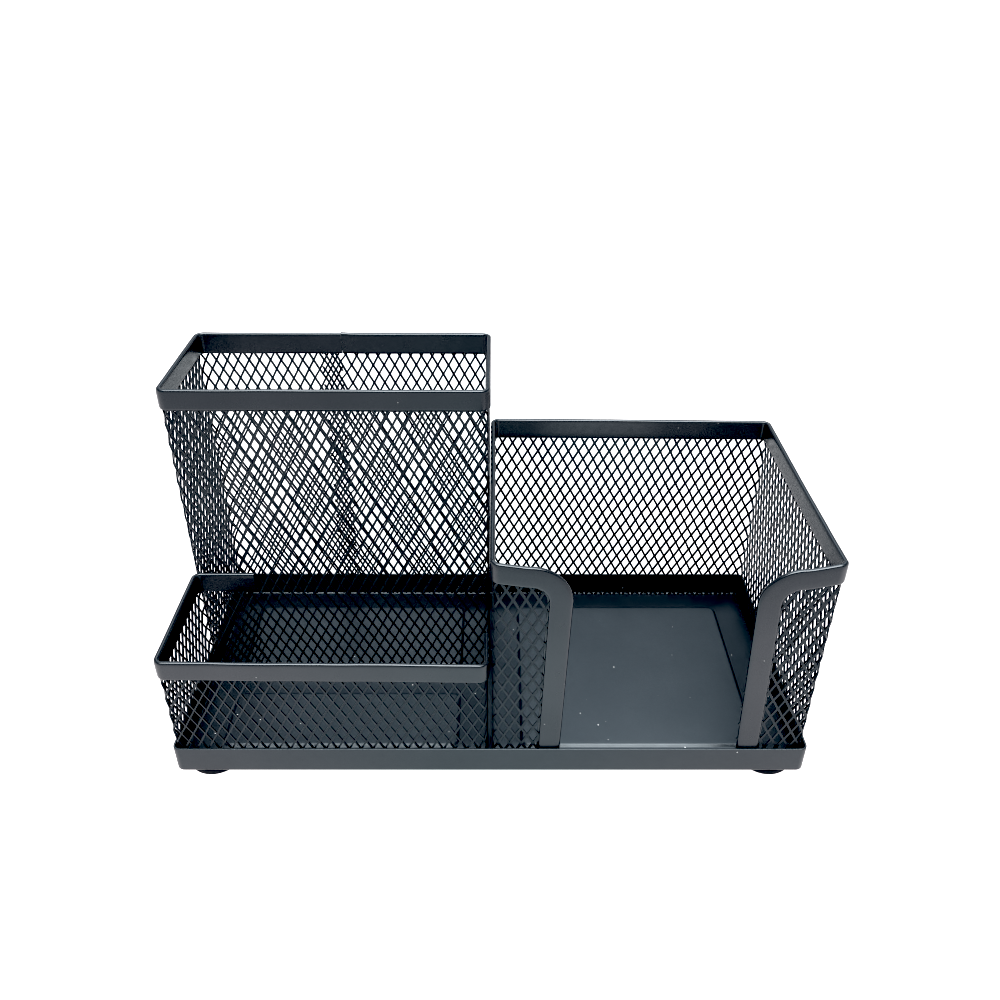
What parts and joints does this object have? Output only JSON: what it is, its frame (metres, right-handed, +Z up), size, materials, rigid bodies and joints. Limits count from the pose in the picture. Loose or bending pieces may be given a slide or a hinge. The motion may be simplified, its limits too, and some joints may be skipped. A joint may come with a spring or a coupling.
{
  "type": "mesh desk organizer",
  "caption": "Black steel mesh desk organizer: tall pen cup, low open front tray and note holder with a finger opening, on one flanged base with rubber feet.",
  "frame": {"origin": "on the ground under the middle of the base, at the level of the feet", "axes": "+X to the right along the base's long side, +Y to the back, from the front tray to the pen cup, +Z up"},
  "size_m": [0.18, 0.0824, 0.1031],
  "materials": {
    "base_sheet": "satin black powder coat on pressed sheet steel, fine orange peel",
    "mesh": "satin black powder coat on expanded steel mesh, diamonds about 3.3 by 6 mm",
    "trim": "satin black powder coat on rolled steel trim, fine grain",
    "foot": "matt black rubber"
  },
  "bodies": {
    "root": {"base_pan": "base_sheet", "pen_cup_mesh": "mesh", "pen_cup_rim": "trim", "front_tray_mesh": "mesh", "front_tray_rim": "trim", "note_holder_mesh": "mesh", "note_holder_rim": "trim", "foot_front_left": "foot", "foot_front_right": "foot", "foot_rear_left": "foot", "foot_rear_right": "foot"}
  },
  "joints": []
}
